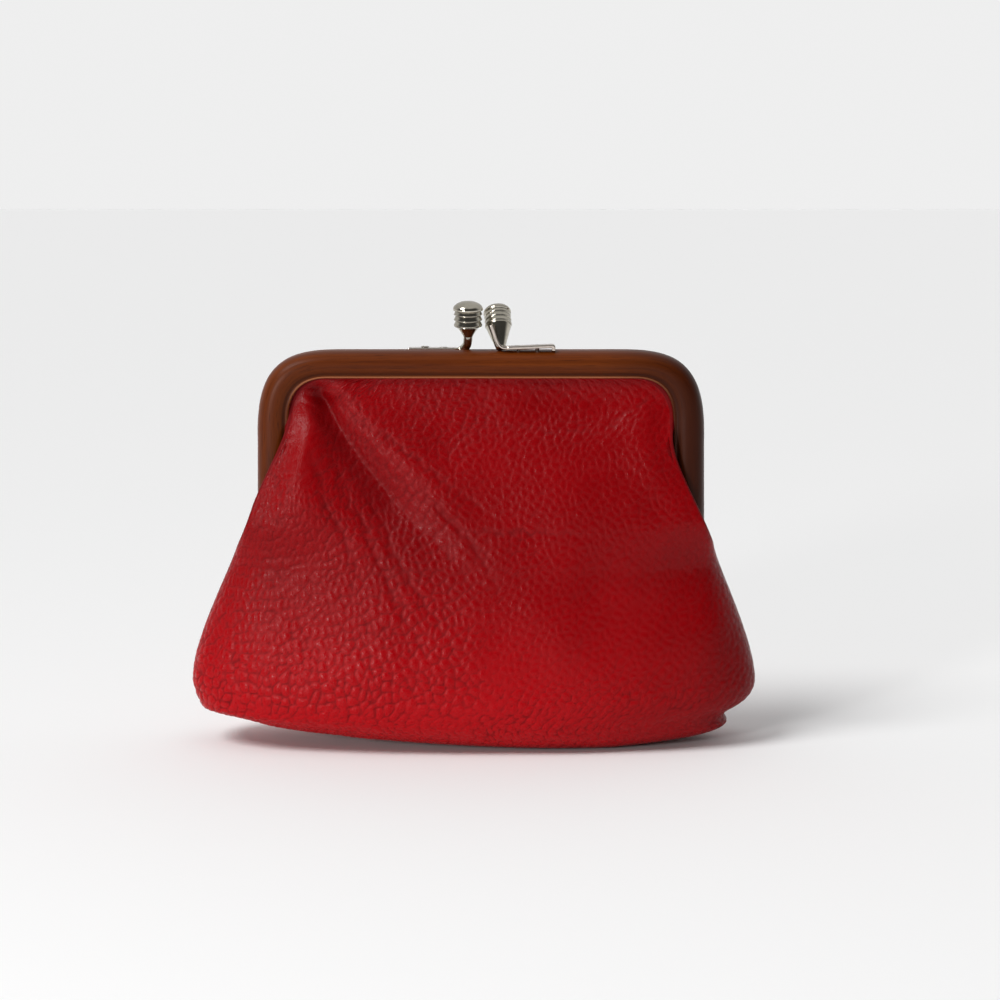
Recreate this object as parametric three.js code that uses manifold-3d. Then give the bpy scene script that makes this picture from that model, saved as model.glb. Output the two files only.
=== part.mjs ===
// A coin purse: a leather pouch hung in a two-part wooden frame that closes with a kiss-lock clasp.
// Millimetres. +X is the purse's right, +Y its back, +Z up. The origin is on the ground, under the pouch's middle.
// Each frame half turns about the hinge line, which runs along X through both hinge pins.
import * as THREE from "three";
import { mergeVertices } from "three/addons/utils/BufferGeometryUtils.js";
import Module from "manifold-3d";

const wasm = await Module();
wasm.setup();

// Clearances
const GAP = 0.3;
const PIN_CLEARANCE = 0.08;

// Wooden frame: each half is one U-shaped bar with its arms pointing down
const FRAME_WIDTH = 120;
const FRAME_TOP = 106;
const BAR_WIDTH = 7.3;
const BAR_DEPTH = 6.7;
const CORNER_RADIUS = 16;
const ARM_SPLAY = THREE.MathUtils.degToRad(1.3);
const ARM_END = 56.5;
const PARTING = GAP / 2;
const FRAME_STEPS = 40;

// The groove in the bar's inner face that holds the leather, the lining and the paper cord
const GROOVE_NEAR = 2.3;
const GROOVE_FAR = 4.9;
const GROOVE_DEPTH = 3.2;
const TUCK = 1.5;
const PAPER_CORD_RADIUS = 0.55;

// Butt hinges, let into the meeting faces of the arms
const HINGE_HEIGHT = 54.5;
const LEAF = { width: 6, height: 9.7, thickness: 0.8, bottom: 56.3 };
const KNUCKLE_RADIUS = 1.5;
const KNUCKLE_LENGTH = 2.1;
const HINGE_PIN_RADIUS = 0.7;
const LEAF_SCREW_HEIGHTS = [59.2, 63.6];

// Countersunk screws
const SCREW = { head: 1.1, headHeight: 0.6, shank: 0.5, length: 4.1, slotWidth: 0.35, slotDepth: 0.25 };

// Kiss-lock clasp: a strap on each bar's top, a stem and a ribbed ball
const STRAP = { width: 4, thickness: 0.9, start: 6.8, end: 19.4, lift: 0.5, fold: 0.8, light: 0.35 };
const STEM_RADIUS = 1.05;
const CLASP_SCREWS = [10, 15];
const FRONT_BALL = { radius: 3.75, at: [4.6, 2, 114.3], lean: THREE.MathUtils.degToRad(35), neck: 5.5 };
const REAR_BALL = { radius: 4, at: [-3.4, -1.8, 115], lean: THREE.MathUtils.degToRad(-8), neck: 5.3 };

// Leather and lining
const LEATHER = 1.4;
const LINING = 0.5;
const POUCH_TOP = 50;
const PANEL_BOTTOM = 57;
const PANEL_BULGE = 8;
const PANEL_COLUMNS = 10;
const PANEL_ROWS = [PANEL_BOTTOM, 64, 72, 80];
const PANEL_CORNER_ROWS = [0, 0.35, 0.65, 0.85, 0.97];
// Height, half width and half depth of the pouch's outside
const POUCH_LEVELS = [
  [0, 56, 12.5],
  [1.6, 63, 16.5],
  [5, 68.5, 19.3],
  [9, 73.5, 21],
  [15, 76.2, 22],
  [24.8, 74.8, 21.8],
  [35.5, 70.3, 20.6],
  [43.6, 66.9, 19.2],
  [POUCH_TOP, 64.2, 17.8],
];
const POUCH_ROUNDNESS = 2.4;
const THREAD_RADIUS = 0.35;
const THREAD_INSET = 2.3;
const LINING_SIDE_INSET = 3.2;

const barMiddle = FRAME_WIDTH / 2 - BAR_WIDTH / 2;
const barMiddleTop = FRAME_TOP - BAR_WIDTH / 2;
const bendRadius = CORNER_RADIUS - BAR_WIDTH / 2;
const bendHeight = barMiddleTop - bendRadius;
const armRise = bendHeight + bendRadius * Math.sin(ARM_SPLAY) - ARM_END;
const bendCentre = barMiddle - armRise * Math.tan(ARM_SPLAY) - bendRadius * Math.cos(ARM_SPLAY);

const FRONT = -1;
const BACK = 1;

const MATERIALS = {
  wood: new THREE.MeshStandardMaterial({ color: 0x6b3415, roughness: 0.42, metalness: 0 }),
  leather: new THREE.MeshStandardMaterial({ color: 0xa0141a, roughness: 0.48, metalness: 0 }),
  lining: new THREE.MeshStandardMaterial({ color: 0xb08a5e, roughness: 0.9, metalness: 0 }),
  nickel: new THREE.MeshStandardMaterial({ color: 0xb9b5ac, roughness: 0.16, metalness: 1 }),
  steel: new THREE.MeshStandardMaterial({ color: 0xa7a49c, roughness: 0.3, metalness: 1 }),
  paper: new THREE.MeshStandardMaterial({ color: 0xc9b48c, roughness: 0.95, metalness: 0 }),
  thread: new THREE.MeshStandardMaterial({ color: 0x8c1015, roughness: 0.8, metalness: 0 }),
};

const purse = new THREE.Group();

function add(name, geometry, material, place = {}) {
  const mesh = new THREE.Mesh(geometry, material);
  mesh.name = name;
  mesh.position.set(...(place.position ?? [0, 0, 0]));
  mesh.rotation.set(...(place.rotation ?? [0, 0, 0]));
  purse.add(mesh);
  return mesh;
}

// ---- Solids: three.js geometry to manifold-3d and back ----

function toSolid(geometry) {
  const bare = new THREE.BufferGeometry();
  bare.setAttribute("position", geometry.getAttribute("position").clone());
  if (geometry.index) bare.setIndex(geometry.index.clone());
  const merged = mergeVertices(bare, 1e-4);
  return new wasm.Manifold(
    new wasm.Mesh({
      numProp: 3,
      vertProperties: merged.attributes.position.array,
      triVerts: new Uint32Array(merged.index.array),
    }),
  );
}

function toGeometry(solid) {
  const mesh = solid.getMesh();
  const geometry = new THREE.BufferGeometry();
  geometry.setAttribute("position", new THREE.BufferAttribute(new Float32Array(mesh.vertProperties), 3));
  geometry.setIndex(new THREE.BufferAttribute(new Uint32Array(mesh.triVerts), 1));
  return geometry;
}

function box(low, high) {
  const size = high.map((value, axis) => value - low[axis]);
  const middle = high.map((value, axis) => (value + low[axis]) / 2);
  return new THREE.BoxGeometry(...size).translate(...middle);
}

// A closed solid from convex rings of points, each ring with the same count, capped at both ends
function loft(rings) {
  const count = rings[0].length;
  const positions = rings.flat().concat([centreOf(rings[0]), centreOf(rings.at(-1))]).flat();
  const bottom = rings.length * count;
  const index = [];
  for (let level = 0; level < rings.length - 1; level++) {
    for (let i = 0; i < count; i++) {
      const here = level * count + i;
      const next = level * count + ((i + 1) % count);
      index.push(here, next, next + count, here, next + count, here + count);
    }
  }
  const top = bottom - count;
  for (let i = 0; i < count; i++) {
    const next = (i + 1) % count;
    index.push(bottom, next, i, bottom + 1, top + i, top + next);
  }
  const geometry = new THREE.BufferGeometry();
  geometry.setAttribute("position", new THREE.Float32BufferAttribute(positions, 3));
  geometry.setIndex(index);
  return geometry;
}

// A closed sheet between two grids of points that share one outline. Rows run up and columns run along +X,
// and the low grid lies on the -Y side of the high one.
function thickSheet(low, high) {
  const rows = low.length;
  const columns = low[0].length;
  const lowAt = ([row, column]) => row * columns + column;
  const highAt = (cell) => rows * columns + lowAt(cell);
  const index = [];
  const quad = (a, b, c, d) => index.push(a, b, c, a, c, d);
  for (let row = 0; row < rows - 1; row++) {
    for (let column = 0; column < columns - 1; column++) {
      const corners = [[row, column], [row, column + 1], [row + 1, column + 1], [row + 1, column]];
      quad(...corners.map(lowAt));
      quad(...corners.map(highAt).reverse());
    }
  }
  const rim = [];
  for (let column = 0; column < columns - 1; column++) rim.push([0, column]);
  for (let row = 0; row < rows - 1; row++) rim.push([row, columns - 1]);
  for (let column = columns - 1; column > 0; column--) rim.push([rows - 1, column]);
  for (let row = rows - 1; row > 0; row--) rim.push([row, 0]);
  rim.forEach((cell, i) => {
    const next = rim[(i + 1) % rim.length];
    quad(lowAt(cell), highAt(cell), highAt(next), lowAt(next));
  });
  const geometry = new THREE.BufferGeometry();
  const positions = [...low, ...high].flat(2);
  geometry.setAttribute("position", new THREE.Float32BufferAttribute(positions, 3));
  geometry.setIndex(index);
  return geometry;
}

// A round rod along a curve
function rod(line, radius, steps) {
  const section = new THREE.Shape().absarc(0, 0, radius, 0, 2 * Math.PI);
  return new THREE.ExtrudeGeometry(section, {
    steps,
    curveSegments: 4,
    bevelEnabled: false,
    extrudePath: line,
  });
}

function centreOf(ring) {
  return [0, 1, 2].map((axis) => ring.reduce((sum, point) => sum + point[axis], 0) / ring.length);
}

// ---- Wooden frame ----

// The middle line of the bar, from the foot of the left arm over the top to the foot of the right arm
class FrameLine extends THREE.Curve {
  constructor(offset = 0) {
    super();
    const radius = bendRadius - offset;
    const foot = barMiddle - offset / Math.cos(ARM_SPLAY);
    this.flat = new THREE.Path();
    this.flat.moveTo(-foot, ARM_END);
    this.flat.lineTo(
      -bendCentre - radius * Math.cos(ARM_SPLAY),
      bendHeight + radius * Math.sin(ARM_SPLAY),
    );
    this.flat.absarc(-bendCentre, bendHeight, radius, Math.PI - ARM_SPLAY, Math.PI / 2, true);
    this.flat.lineTo(bendCentre, bendHeight + radius);
    this.flat.absarc(bendCentre, bendHeight, radius, Math.PI / 2, ARM_SPLAY, true);
    this.flat.lineTo(foot, ARM_END);
  }

  getPoint(t, target = new THREE.Vector3()) {
    const point = this.flat.getPoint(t);
    return target.set(point.x, 0, point.y);
  }
}

// The bar's section. Its x runs from the meeting face outwards and its y from the outer edge inwards.
function barSection(side) {
  const near = PARTING;
  const far = PARTING + BAR_DEPTH;
  const half = BAR_WIDTH / 2;
  const shape = new THREE.Shape();
  const sx = (x) => -side * x;
  shape.moveTo(sx(near), -half + 0.5);
  shape.quadraticCurveTo(sx(near), -half, sx(near + 0.5), -half);
  shape.lineTo(sx(far - 2.4), -half);
  shape.quadraticCurveTo(sx(far), -half, sx(far), -half + 2.6);
  shape.quadraticCurveTo(sx(far), half - 2, sx(far - 0.9), half - 0.7);
  shape.quadraticCurveTo(sx(far - 1), half, sx(far - 1.5), half);
  shape.lineTo(sx(GROOVE_FAR), half);
  shape.lineTo(sx(GROOVE_FAR), half - GROOVE_DEPTH);
  shape.lineTo(sx(GROOVE_NEAR), half - GROOVE_DEPTH);
  shape.lineTo(sx(GROOVE_NEAR), half);
  shape.lineTo(sx(near + 0.4), half);
  shape.lineTo(sx(near), half - 0.4);
  return shape;
}

function frameBar(side) {
  const bar = new THREE.ExtrudeGeometry(barSection(side), {
    steps: FRAME_STEPS,
    curveSegments: 3,
    bevelEnabled: false,
    extrudePath: new FrameLine(),
  });
  let wood = toSolid(bar);
  for (const hand of [-1, 1]) {
    const x = hand * barMiddle;
    const reach = LEAF.width / 2 + GAP;
    const floor = side * (PARTING + LEAF.thickness + GAP);
    const pocket = box(
      [x - reach, Math.min(floor, 0), ARM_END - 2],
      [x + reach, Math.max(floor, 0), LEAF.bottom + LEAF.height + GAP],
    );
    wood = wood.subtract(toSolid(pocket));
    for (const height of LEAF_SCREW_HEIGHTS) {
      wood = wood.subtract(toSolid(leafScrewHole(side, hand, height)));
    }
  }
  for (const along of CLASP_SCREWS) {
    wood = wood.subtract(toSolid(claspScrewHole(side, along)));
  }
  return toGeometry(wood);
}

// ---- Screws ----

// A countersunk screw on the Z axis with its flat head at the origin, pointing down
function screwBody(grow = 0) {
  const profile = [
    [0, grow ? 1 : 0],
    [SCREW.head + grow, grow ? 1 : 0],
    [SCREW.head + grow, -0.1],
    [SCREW.shank + grow, -SCREW.headHeight - 0.1],
    [SCREW.shank + grow, -SCREW.length + 0.8],
    [grow, -SCREW.length - grow],
  ];
  if (grow) profile.push([0, -SCREW.length - grow]);
  const points = profile.reverse().map(([r, h]) => new THREE.Vector2(r, h));
  return new THREE.LatheGeometry(points, 10).rotateX(Math.PI / 2);
}

function screw() {
  const slot = box(
    [-SCREW.head - 0.5, -SCREW.slotWidth / 2, -SCREW.slotDepth],
    [SCREW.head + 0.5, SCREW.slotWidth / 2, 1],
  );
  return toGeometry(toSolid(screwBody()).subtract(toSolid(slot)));
}

const screwGeometry = screw();
const screwOffset = 1.1;

// A leaf screw goes in from the meeting face and points away from it
function leafScrewPlace(side, hand, height) {
  const x = hand * (barMiddle + screwOffset);
  return { position: [x, side * (PARTING + 0.02), height], rotation: [(side * Math.PI) / 2, 0, 0] };
}

function leafScrewHole(side, hand, height) {
  const place = leafScrewPlace(side, hand, height);
  return screwBody(GAP / 2).rotateX(place.rotation[0]).translate(...place.position);
}

function claspScrewPlace(side, along) {
  const rise = strapUnderside(along) + STRAP.thickness;
  return { position: [-side * along, side * claspMiddle, rise - 0.02] };
}

function claspScrewHole(side, along) {
  return screwBody(GAP / 2).translate(...claspScrewPlace(side, along).position);
}

// ---- Hinges ----

function cylinderAlongX(radius, from, to, sides = 16) {
  return new THREE.CylinderGeometry(radius, radius, to - from, sides)
    .rotateZ(Math.PI / 2)
    .translate((from + to) / 2, 0, 0);
}

// One leaf about its own middle in X, with the hinge line at Y 0 and Z 0
function hingeLeaf(side, knuckles) {
  const low = LEAF.bottom - HINGE_HEIGHT;
  const nearFace = side * PARTING;
  const farFace = side * (PARTING + LEAF.thickness);
  const ys = [Math.min(nearFace, farFace), Math.max(nearFace, farFace)];
  let leaf = toSolid(box([-LEAF.width / 2, ys[0], low], [LEAF.width / 2, ys[1], low + LEAF.height]));
  for (const [from, to] of knuckles) {
    leaf = leaf
      .add(toSolid(cylinderAlongX(KNUCKLE_RADIUS, from, to)))
      .add(toSolid(box([from, ys[0], 0], [to, ys[1], low + 1])));
  }
  const bore = cylinderAlongX(HINGE_PIN_RADIUS + PIN_CLEARANCE, -LEAF.width, LEAF.width);
  leaf = leaf.subtract(toSolid(bore));
  return leaf;
}

function addHinge(hand) {
  const label = hand < 0 ? "left" : "right";
  const half = KNUCKLE_LENGTH / 2;
  const outer = LEAF.width / 2;
  const sides = [
    [FRONT, "front", [[-half, half]]],
    [BACK, "rear", [[-outer, -half - 0.2], [half + 0.2, outer]]],
  ];
  for (const [side, sideName, knuckles] of sides) {
    let leaf = hingeLeaf(side, knuckles);
    for (const height of LEAF_SCREW_HEIGHTS) {
      const hole = leafScrewHole(side, hand, height).translate(-hand * barMiddle, 0, -HINGE_HEIGHT);
      leaf = leaf.subtract(toSolid(hole));
    }
    const place = { position: [hand * barMiddle, 0, HINGE_HEIGHT] };
    add(`${sideName}_hinge_leaf_${label}`, toGeometry(leaf), MATERIALS.nickel, place);
    LEAF_SCREW_HEIGHTS.forEach((height, i) => {
      const name = `${sideName}_leaf_screw_${label}_${i + 1}`;
      add(name, screwGeometry, MATERIALS.steel, leafScrewPlace(side, hand, height));
    });
  }
  add(`hinge_pin_${label}`, hingePin(outer), MATERIALS.steel, {
    position: [hand * barMiddle, 0, HINGE_HEIGHT],
  });
}

// A rivet pin with a domed head at each end
function hingePin(reach) {
  const headRadius = 1.15;
  const headHeight = 0.45;
  const start = reach + 0.08;
  const right = [
    [HINGE_PIN_RADIUS, start],
    [headRadius, start],
    [headRadius * 0.8, start + headHeight * 0.8],
    [0, start + headHeight],
  ];
  const left = right.map(([r, h]) => [r, -h]).reverse();
  const points = [...left, ...right].map(([r, h]) => new THREE.Vector2(r, h));
  return new THREE.LatheGeometry(points, 16).rotateZ(-Math.PI / 2);
}

// ---- Kiss-lock clasp ----

const claspMiddle = PARTING + BAR_DEPTH / 2 - 0.5;

// Height of the strap's underside: it rises a little towards its free end
function strapUnderside(along) {
  const share = (along - STRAP.start) / (STRAP.end - STRAP.start);
  return FRAME_TOP + GAP + STRAP.lift * share;
}

// The strap seen from the front: it rises to its folded end, which stands on the wood and leaves a slit of light
function strapOutline() {
  const rest = FRAME_TOP + GAP;
  const { start, end, thickness, fold, light } = STRAP;
  const points = [
    [start, rest],
    [end - fold, strapUnderside(end - fold)],
    [end - fold, rest + light],
    [end - 4 * fold, rest + light],
    [end - 4 * fold, rest],
    [end, rest],
    [end, strapUnderside(end) + thickness],
    [start, rest + thickness],
  ];
  return new THREE.Shape(points.map(([x, z]) => new THREE.Vector2(x, z)));
}

function claspStrap(side) {
  const strap = new THREE.ExtrudeGeometry(strapOutline(), { depth: STRAP.width, bevelEnabled: false })
    .rotateX(Math.PI / 2)
    .translate(0, STRAP.width / 2, 0);
  if (side === BACK) strap.rotateZ(Math.PI);
  strap.translate(0, side * claspMiddle, 0);
  let solid = toSolid(strap);
  for (const along of CLASP_SCREWS) {
    solid = solid.subtract(toSolid(claspScrewHole(side, along)));
  }
  return toGeometry(solid);
}

// The stem starts level, in line with its strap, and bends up to the ball's neck
function claspStem(side, ball) {
  const centre = new THREE.Vector3(...ball.at);
  const axis = new THREE.Vector3(0, Math.sin(ball.lean), Math.cos(ball.lean));
  const neckFoot = centre.clone().addScaledVector(axis, -ball.neck - GAP);
  const middle = side * claspMiddle;
  const height = FRAME_TOP + GAP + STEM_RADIUS;
  const line = new THREE.CubicBezierCurve3(
    new THREE.Vector3(-side * (STRAP.start - GAP), middle, height),
    new THREE.Vector3(centre.x, middle, height),
    neckFoot.clone().addScaledVector(axis, -1.2),
    neckFoot,
  );
  return rod(line, STEM_RADIUS, 8);
}

// A clasp half. The front one lies to the right of the middle and the rear one to the left.
function addClasp(side, ball) {
  const sideName = side === FRONT ? "front" : "rear";
  add(`${sideName}_clasp_strap`, claspStrap(side), MATERIALS.nickel);
  add(`${sideName}_clasp_stem`, claspStem(side, ball), MATERIALS.nickel);
  add(`${sideName}_clasp_ball`, claspBall(ball), MATERIALS.nickel, {
    position: ball.at,
    rotation: [-ball.lean, 0, 0],
  });
  CLASP_SCREWS.forEach((along, i) => {
    add(`${sideName}_clasp_screw_${i + 1}`, screwGeometry, MATERIALS.steel, claspScrewPlace(side, along));
  });
}

// A ball with three ribs round its middle and a neck that tapers down to the stem
function claspBall({ radius, neck }) {
  const points = [new THREE.Vector2(0, -neck), new THREE.Vector2(STEM_RADIUS, -neck)];
  const neckSteps = 3;
  for (let i = 1; i <= neckSteps; i++) {
    const share = i / (neckSteps + 1);
    const height = -neck + share * (neck - radius * 0.72);
    points.push(new THREE.Vector2(STEM_RADIUS + 1.65 * share * share, height));
  }
  const ribSteps = 15;
  for (let i = 0; i <= ribSteps; i++) {
    const angle = THREE.MathUtils.degToRad(-46 + (i / ribSteps) * 82);
    const rib = 0.3 * Math.abs(Math.sin((Math.PI * i) / 5));
    points.push(new THREE.Vector2((radius - 0.3 + rib) * Math.cos(angle), radius * Math.sin(angle)));
  }
  for (const degrees of [50, 64, 78]) {
    const angle = THREE.MathUtils.degToRad(degrees);
    points.push(new THREE.Vector2(radius * Math.cos(angle), radius * Math.sin(angle)));
  }
  points.push(new THREE.Vector2(0, radius));
  return new THREE.LatheGeometry(points, 14).rotateX(Math.PI / 2);
}

// ---- Upper panels: the leather and lining held in each frame half ----

// Half width of a panel at a height, so that its edge runs TUCK deep in the groove
function panelHalfWidth(height) {
  const radius = bendRadius - BAR_WIDTH / 2 + TUCK;
  if (height <= bendHeight) return bendCentre + radius + (bendHeight - height) * Math.tan(ARM_SPLAY);
  const rise = Math.min(height - bendHeight, radius);
  return bendCentre + Math.sqrt(Math.max(radius * radius - rise * rise, 0));
}

// A curved sheet whose rim lies in the groove and whose middle swells outwards towards the bottom
function upperPanel(side, offset, thickness) {
  const top = bendHeight + bendRadius - BAR_WIDTH / 2 + TUCK;
  const corner = PANEL_CORNER_ROWS.map((share) => bendHeight + share * (top - bendHeight));
  const flat = TUCK + GAP;
  const grid = (distance) =>
    [...PANEL_ROWS, ...corner].map((height) => {
      const half = panelHalfWidth(height);
      const drop = Math.max(top - flat - height, 0) / (top - flat - PANEL_BOTTOM);
      return Array.from({ length: PANEL_COLUMNS + 1 }, (_, i) => {
        const x = half * Math.sin(Math.PI * (i / PANEL_COLUMNS - 0.5));
        const inside = Math.max(1 - (x / (half - flat)) ** 2, 0);
        return [x, side * (distance + PANEL_BULGE * drop * inside), height];
      });
    });
  const inner = grid(offset);
  const outer = grid(offset + thickness);
  return side === FRONT ? thickSheet(outer, inner) : thickSheet(inner, outer);
}

// ---- Lower pouch ----

// A height on the pouch's outside, moved up by floor at the ground and not at all at the pouch's top
function raised(height, floor) {
  return floor + height * (1 - floor / POUCH_TOP);
}

function pouchRings(inset, sideInset, floor, overshoot) {
  const levels = POUCH_LEVELS.map(([height, half, depth]) => [
    raised(height, floor),
    half - sideInset,
    depth - inset,
  ]);
  if (overshoot) {
    const [, half, depth] = levels.at(-1);
    levels.push([POUCH_TOP + overshoot, half, depth]);
  }
  const count = 28;
  return levels.map(([height, half, depth]) =>
    Array.from({ length: count }, (_, i) => {
      const angle = (2 * Math.PI * i) / count;
      const power = 2 / POUCH_ROUNDNESS;
      const round = (value) => Math.sign(value) * Math.pow(Math.abs(value), power);
      return [half * round(Math.cos(angle)), depth * round(Math.sin(angle)), height];
    }),
  );
}

function pouchShell(inset, sideInset, thickness, side) {
  const outer = toSolid(loft(pouchRings(inset, sideInset, sideInset, 0)));
  const deeper = thickness + sideInset;
  const inner = toSolid(loft(pouchRings(inset + thickness, deeper, deeper, 1)));
  const edge = side * PARTING;
  const far = side * 60;
  const half = box([-100, Math.min(edge, far), -1], [100, Math.max(edge, far), 100]);
  return toGeometry(outer.subtract(inner).intersect(toSolid(half)));
}

// Seam threads lie just inside the leather, where the two pouch halves are sewn together
function threadLine(hand) {
  const levels = POUCH_LEVELS.slice(3).map(([height, half]) => [raised(height, THREAD_INSET), half - THREAD_INSET]);
  return new THREE.CatmullRomCurve3(levels.map(([z, x]) => new THREE.Vector3(hand * x, 0, z)));
}

// A twisted paper cord at the bottom of the groove, which wedges the leather and the lining in
function paperCord(side) {
  const depth = BAR_WIDTH / 2 - GROOVE_DEPTH + PAPER_CORD_RADIUS + 0.1;
  const cord = rod(new FrameLine(depth), PAPER_CORD_RADIUS, FRAME_STEPS);
  return cord.translate(0, (side * (GROOVE_NEAR + GROOVE_FAR)) / 2, 0);
}

// ---- Assembly ----

const leatherOffset = GROOVE_FAR - GAP - LEATHER;
const liningOffset = leatherOffset - GAP - LINING;

for (const [side, sideName] of [[FRONT, "front"], [BACK, "rear"]]) {
  add(`${sideName}_frame`, frameBar(side), MATERIALS.wood);
  add(`${sideName}_paper_cord`, paperCord(side), MATERIALS.paper);
  add(`${sideName}_leather_upper`, upperPanel(side, leatherOffset, LEATHER), MATERIALS.leather);
  add(`${sideName}_lining_upper`, upperPanel(side, liningOffset, LINING), MATERIALS.lining);
  add(`${sideName}_leather_lower`, pouchShell(0, 0, LEATHER, side), MATERIALS.leather);
  add(
    `${sideName}_lining_lower`,
    pouchShell(LEATHER + GAP, LINING_SIDE_INSET, LINING, side),
    MATERIALS.lining,
  );
}

addHinge(-1);
addHinge(1);
addClasp(FRONT, FRONT_BALL);
addClasp(BACK, REAR_BALL);

add("side_seam_thread_left", rod(threadLine(-1), THREAD_RADIUS, 8), MATERIALS.thread);
add("side_seam_thread_right", rod(threadLine(1), THREAD_RADIUS, 8), MATERIALS.thread);
const bottomSeamHalf = 52;
const bottomSeam = new THREE.LineCurve3(
  new THREE.Vector3(-bottomSeamHalf, 0, THREAD_INSET + 0.1),
  new THREE.Vector3(bottomSeamHalf, 0, THREAD_INSET + 0.1),
);
add("bottom_seam_thread", rod(bottomSeam, THREAD_RADIUS, 1), MATERIALS.thread);

export default purse;
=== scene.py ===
"""A red leather coin purse in a hinged wooden frame with a kiss-lock clasp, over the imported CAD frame.

Shapes are worked out in millimetres in the CAD's own frame (+X right, +Y back, +Z up) and written in metres.
"""
import math

import bpy
import numpy as np
from mathutils import Matrix, Vector


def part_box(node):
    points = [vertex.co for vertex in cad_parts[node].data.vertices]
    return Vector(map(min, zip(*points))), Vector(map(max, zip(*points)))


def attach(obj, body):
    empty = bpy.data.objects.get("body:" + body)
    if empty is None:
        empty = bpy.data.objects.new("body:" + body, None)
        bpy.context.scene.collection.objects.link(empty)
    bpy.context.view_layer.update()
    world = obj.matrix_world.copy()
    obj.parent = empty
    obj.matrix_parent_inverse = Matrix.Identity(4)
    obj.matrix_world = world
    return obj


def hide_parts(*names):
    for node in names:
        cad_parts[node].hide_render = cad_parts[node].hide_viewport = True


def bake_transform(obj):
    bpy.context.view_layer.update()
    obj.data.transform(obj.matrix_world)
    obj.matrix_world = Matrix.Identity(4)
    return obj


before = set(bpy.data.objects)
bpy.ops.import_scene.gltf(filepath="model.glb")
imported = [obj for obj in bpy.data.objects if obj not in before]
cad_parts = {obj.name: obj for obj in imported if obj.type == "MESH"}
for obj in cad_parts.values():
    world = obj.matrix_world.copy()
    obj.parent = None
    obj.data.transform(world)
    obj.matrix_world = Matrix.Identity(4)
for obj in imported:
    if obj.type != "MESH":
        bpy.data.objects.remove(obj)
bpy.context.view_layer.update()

MM = 0.001
FRONT = -1
BACK = 1
SIDES = ((FRONT, "front"), (BACK, "rear"))

# ---------------------------------------------------------------- meshes


def smoothstep(low, high, value):
    t = np.clip((value - low) / (high - low), 0, 1)
    return t * t * (3 - 2 * t)


def mesh_object(name, points, faces, material):
    """A smooth-shaded object from points in millimetres."""
    mesh = bpy.data.meshes.new(name)
    mesh.from_pydata((np.asarray(points, float) * MM).tolist(), [], [list(f) for f in faces])
    mesh.validate()
    mesh.materials.append(material)
    mesh.shade_smooth()
    obj = bpy.data.objects.new(name, mesh)
    bpy.context.scene.collection.objects.link(obj)
    return obj


def grid_faces(rows, columns, first=0, flip=False, wrap=False):
    """Quads over a grid of points, row by row. wrap joins the last column to the first."""
    reach = columns if wrap else columns - 1
    r, c = np.meshgrid(np.arange(rows - 1), np.arange(reach), indexing="ij")
    here = first + r * columns + c
    beside = first + r * columns + (c + 1) % columns
    quads = np.stack([here, beside, beside + columns, here + columns], axis=-1).reshape(-1, 4)
    return (quads[:, ::-1] if flip else quads).tolist()


def lathe(name, profile, material, centre=(0, 0, 0), axis=(0, 0, 1), sides=64):
    """Turns a profile of (radius, height) points, whose ends lie on the axis, about that axis."""
    profile = np.asarray(profile, float)
    inner = profile[1:-1]
    angle = np.linspace(0, 2 * math.pi, sides, endpoint=False)
    rings = np.stack(
        [
            np.outer(inner[:, 0], np.cos(angle)),
            np.outer(inner[:, 0], np.sin(angle)),
            np.repeat(inner[:, 1:], sides, axis=1),
        ],
        axis=-1,
    ).reshape(-1, 3)
    points = np.vstack([rings, [[0, 0, profile[0, 1]], [0, 0, profile[-1, 1]]]])
    faces = grid_faces(len(inner), sides, wrap=True)
    low, high = len(rings), len(rings) + 1
    last = len(rings) - sides
    for i in range(sides):
        after = (i + 1) % sides
        faces.append([low, after, i])
        faces.append([high, last + i, last + after])
    turn = Vector((0, 0, 1)).rotation_difference(Vector(axis)).to_matrix()
    points = points @ np.array(turn).T + np.array(centre)
    return mesh_object(name, points, faces, material)


def bezier(a, b, c, d, count):
    """Points on a cubic curve from a to d with the control points b and c."""
    t = np.linspace(0, 1, count)[:, None]
    a, b, c, d = (np.asarray(p, float) for p in (a, b, c, d))
    return (1 - t) ** 3 * a + 3 * (1 - t) ** 2 * t * b + 3 * (1 - t) * t * t * c + t**3 * d


def sweep(name, line, section, material):
    """Carries a closed section of (side, up) points along a line; side stays near the +Y direction."""
    line = np.asarray(line, float)
    ahead = np.gradient(line, axis=0)
    ahead /= np.linalg.norm(ahead, axis=1, keepdims=True)
    side = np.array([0.0, 1.0, 0.0]) - ahead * ahead[:, 1:2]
    side /= np.linalg.norm(side, axis=1, keepdims=True)
    up = np.cross(side, ahead)
    section = np.asarray(section, float)
    if section.ndim == 2:
        section = np.repeat(section[None], len(line), axis=0)
    points = line[:, None] + section[..., :1] * side[:, None] + section[..., 1:] * up[:, None]
    count = section.shape[1]
    faces = grid_faces(len(line), count, wrap=True)
    faces.append(list(range(count))[::-1])
    faces.append([(len(line) - 1) * count + i for i in range(count)])
    return mesh_object(name, points.reshape(-1, 3), faces, material)


def rounded_box_section(width, height, radius, steps=5):
    """A rectangle with round corners, as a closed list of (side, up) points."""
    points = []
    for quarter, (sx, sy) in enumerate(((1, 1), (-1, 1), (-1, -1), (1, -1))):
        for step in range(steps + 1):
            angle = math.pi / 2 * (quarter + step / steps)
            x = sx * (width / 2 - radius) + radius * math.cos(angle)
            y = sy * (height / 2 - radius) + radius * math.sin(angle)
            points.append((x, y))
    return points


# ---------------------------------------------------------------- materials


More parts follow.
